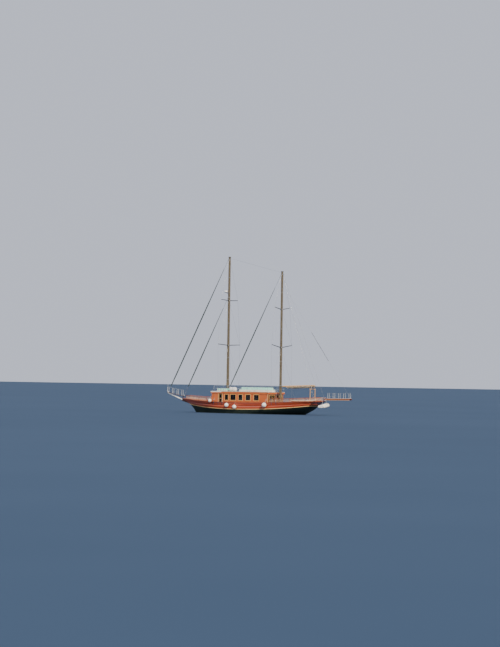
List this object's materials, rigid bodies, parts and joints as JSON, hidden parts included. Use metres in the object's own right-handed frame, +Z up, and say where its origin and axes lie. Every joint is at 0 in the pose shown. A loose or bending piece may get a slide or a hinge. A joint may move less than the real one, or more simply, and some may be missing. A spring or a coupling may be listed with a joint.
{
  "type": "two-masted wooden motor sailer",
  "caption": "Ketch-rigged wooden gulet afloat with furled sails, a long varnished deckhouse, clipper bow with bowsprit, stern gangway and a tender on davits.",
  "frame": {"origin": "on the centreline, amidships, at the waterline", "axes": "+X towards the bow, +Y to port, +Z up"},
  "size_m": [32.1536, 7.1026, 26.65],
  "materials": {
    "hull_topside": "varnished mahogany planking over dark green bottom paint",
    "strake": "cream painted rubbing strake",
    "deck_teak": "bare teak planks",
    "house_wood": "varnished orange-brown joinery",
    "door_wood": "dark varnished timber",
    "red_wood": "varnished red-brown timber",
    "spar_varnish": "weathered varnished spars",
    "white_paint": "white painted timber",
    "white_tube": "white coated steel tube",
    "window_glass": "dark tinted glass",
    "stainless": "brushed stainless steel",
    "bottom_paint": "dark green bottom paint",
    "bronze": "cast bronze",
    "dark_canvas": "dark green-grey cover cloth",
    "sailcloth": "cream sailcloth",
    "mint_cloth": "mint cushion cloth",
    "cream_cloth": "cream cushion cloth",
    "white_plastic": "white moulded plastic"
  },
  "bodies": {
    "ship": {"hull": "hull_topside", "bulwark": "hull_topside", "cap_rail": "hull_topside", "rubbing_strake": "strake", "deck": "deck_teak", "bow_rail_port": "house_wood", "bow_rail_starboard": "house_wood", "stern_rail": "house_wood", "side_wall_port": "house_wood", "side_wall_starboard": "house_wood", "front_wall": "house_wood", "roof": "house_wood", "foredeck_hatch": "house_wood", "boom_gallows": "house_wood", "bowsprit_platform": "door_wood", "aft_wall": "door_wood", "helm_pedestal": "red_wood", "aft_bench": "red_wood", "main_mast": "spar_varnish", "mizzen_mast": "spar_varnish", "main_spreaders_lower": "spar_varnish", "main_spreaders_upper": "spar_varnish", "mizzen_spreaders_lower": "spar_varnish", "mizzen_spreaders_upper": "spar_varnish", "bowsprit": "white_paint", "roof_settee": "white_paint", "glass_port": "window_glass", "glass_starboard": "window_glass", "glass_front": "window_glass", "windlass": "stainless", "triatic_stay": "stainless", "backstays": "stainless", "passerelle_lift": "stainless", "davits": "stainless", "roof_rail_port": "stainless", "roof_rail_starboard": "stainless", "jib_furled": "dark_canvas", "staysail_furled": "dark_canvas", "mizzen_staysail_furled": "dark_canvas", "roof_pads_port": "mint_cloth", "roof_pads_starboard": "mint_cloth", "roof_sunpad": "mint_cloth", "aft_cushions": "cream_cloth", "radar": "white_plastic", "liferaft": "white_plastic", "tender": "white_plastic", "fender_1": "white_plastic", "fender_2": "white_plastic", "fender_3": "white_plastic", "fender_4": "white_plastic"},
    "rudder_body": {"rudder": "bottom_paint"},
    "propeller_body": {"propeller": "bronze"},
    "port_door": {"door_port": "door_wood"},
    "starboard_door": {"door_starboard": "door_wood"},
    "aft_door": {"door_aft": "door_wood"},
    "boom": {"mizzen_boom": "house_wood", "mizzen_sail": "sailcloth"},
    "wheel": {"helm_wheel": "red_wood"},
    "gangway": {"passerelle": "red_wood", "passerelle_rail": "white_tube"}
  },
  "joints": [
    {"name": "rudder_turn", "type": "hinge", "parent": "ship", "child": "rudder_body", "pos_m": [-8.48, 0, -1.5], "axis": [0, 0, 1], "range_deg": [-35, 35]},
    {"name": "propeller_turn", "type": "hinge", "parent": "ship", "child": "propeller_body", "pos_m": [-7.63, 0, -1.45], "axis": [1, 0, 0], "continuous": true},
    {"name": "port_door_swing", "type": "hinge", "parent": "ship", "child": "port_door", "pos_m": [3.928, 2.221, 2.2], "axis": [0, 0, 1], "range_deg": [0, 95]},
    {"name": "starboard_door_swing", "type": "hinge", "parent": "ship", "child": "starboard_door", "pos_m": [3.928, -2.221, 2.2], "axis": [0, 0, 1], "range_deg": [-95, 0]},
    {"name": "aft_door_swing", "type": "hinge", "parent": "ship", "child": "aft_door", "pos_m": [-4.919, -0.758, 2.2], "axis": [0, 0, 1], "range_deg": [0, 95]},
    {"name": "boom_swing", "type": "hinge", "parent": "ship", "child": "boom", "pos_m": [-5.97, 0, 4.2], "axis": [0, 0, 1], "range_deg": [-70, 70]},
    {"name": "wheel_turn", "type": "hinge", "parent": "ship", "child": "wheel", "pos_m": [-5.6548, 1.2, 2.22102], "axis": [1, 0, 0], "range_deg": [-540, 540]},
    {"name": "gangway_tilt", "type": "hinge", "parent": "ship", "child": "gangway", "pos_m": [-12.71123, -1.05, 2.5], "axis": [0, 1, 0], "range_deg": [-20, 0]}
  ],
  "couplings": [
    {"joint": "wheel_turn", "follows": "rudder_turn", "ratio": 15.4}
  ]
}
